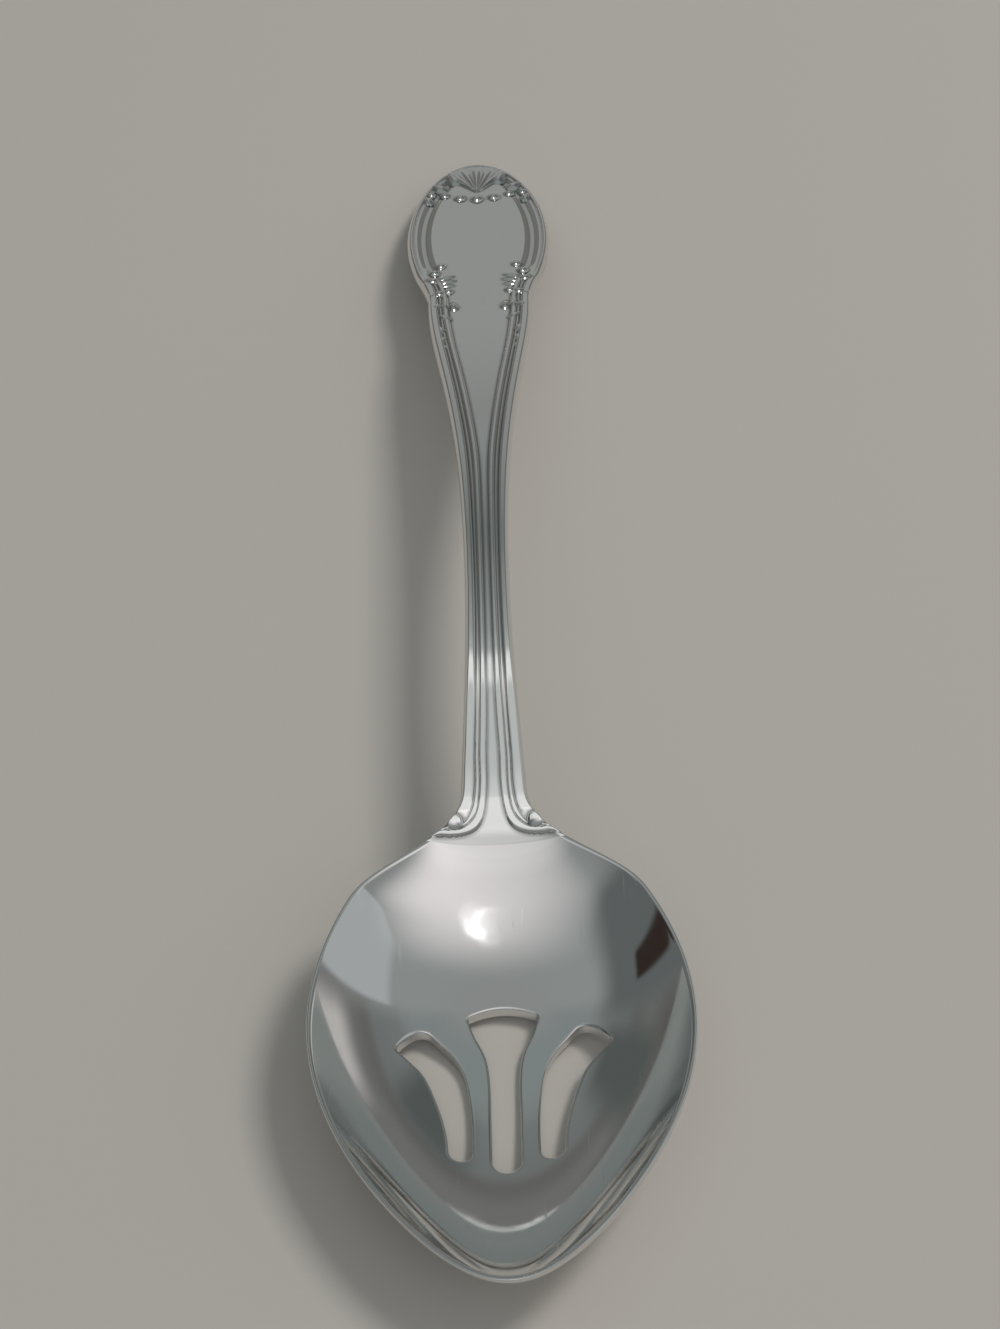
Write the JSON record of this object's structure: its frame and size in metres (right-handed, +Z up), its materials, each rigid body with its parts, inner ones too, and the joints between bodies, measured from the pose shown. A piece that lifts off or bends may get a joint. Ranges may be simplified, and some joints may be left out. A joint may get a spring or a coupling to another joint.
{
  "type": "slotted serving spoon",
  "caption": "Serving spoon of polished steel with a pierced egg-shaped bowl, scrolled shoulders, a reeded arched handle and an oval end with beads and a shell.",
  "frame": {"origin": "middle of the spoon's footprint, on the surface it lies on", "axes": "+Y along the spoon from the bowl's tip to the handle's end, +Z up out of the bowl, +X across the bowl"},
  "size_m": [0.0476, 0.216, 0.0196],
  "materials": {
    "polished_steel": "polished"
  },
  "bodies": {
    "root": {"bowl": "polished_steel", "neck": "polished_steel", "shank": "polished_steel", "handle_end": "polished_steel"}
  },
  "joints": []
}
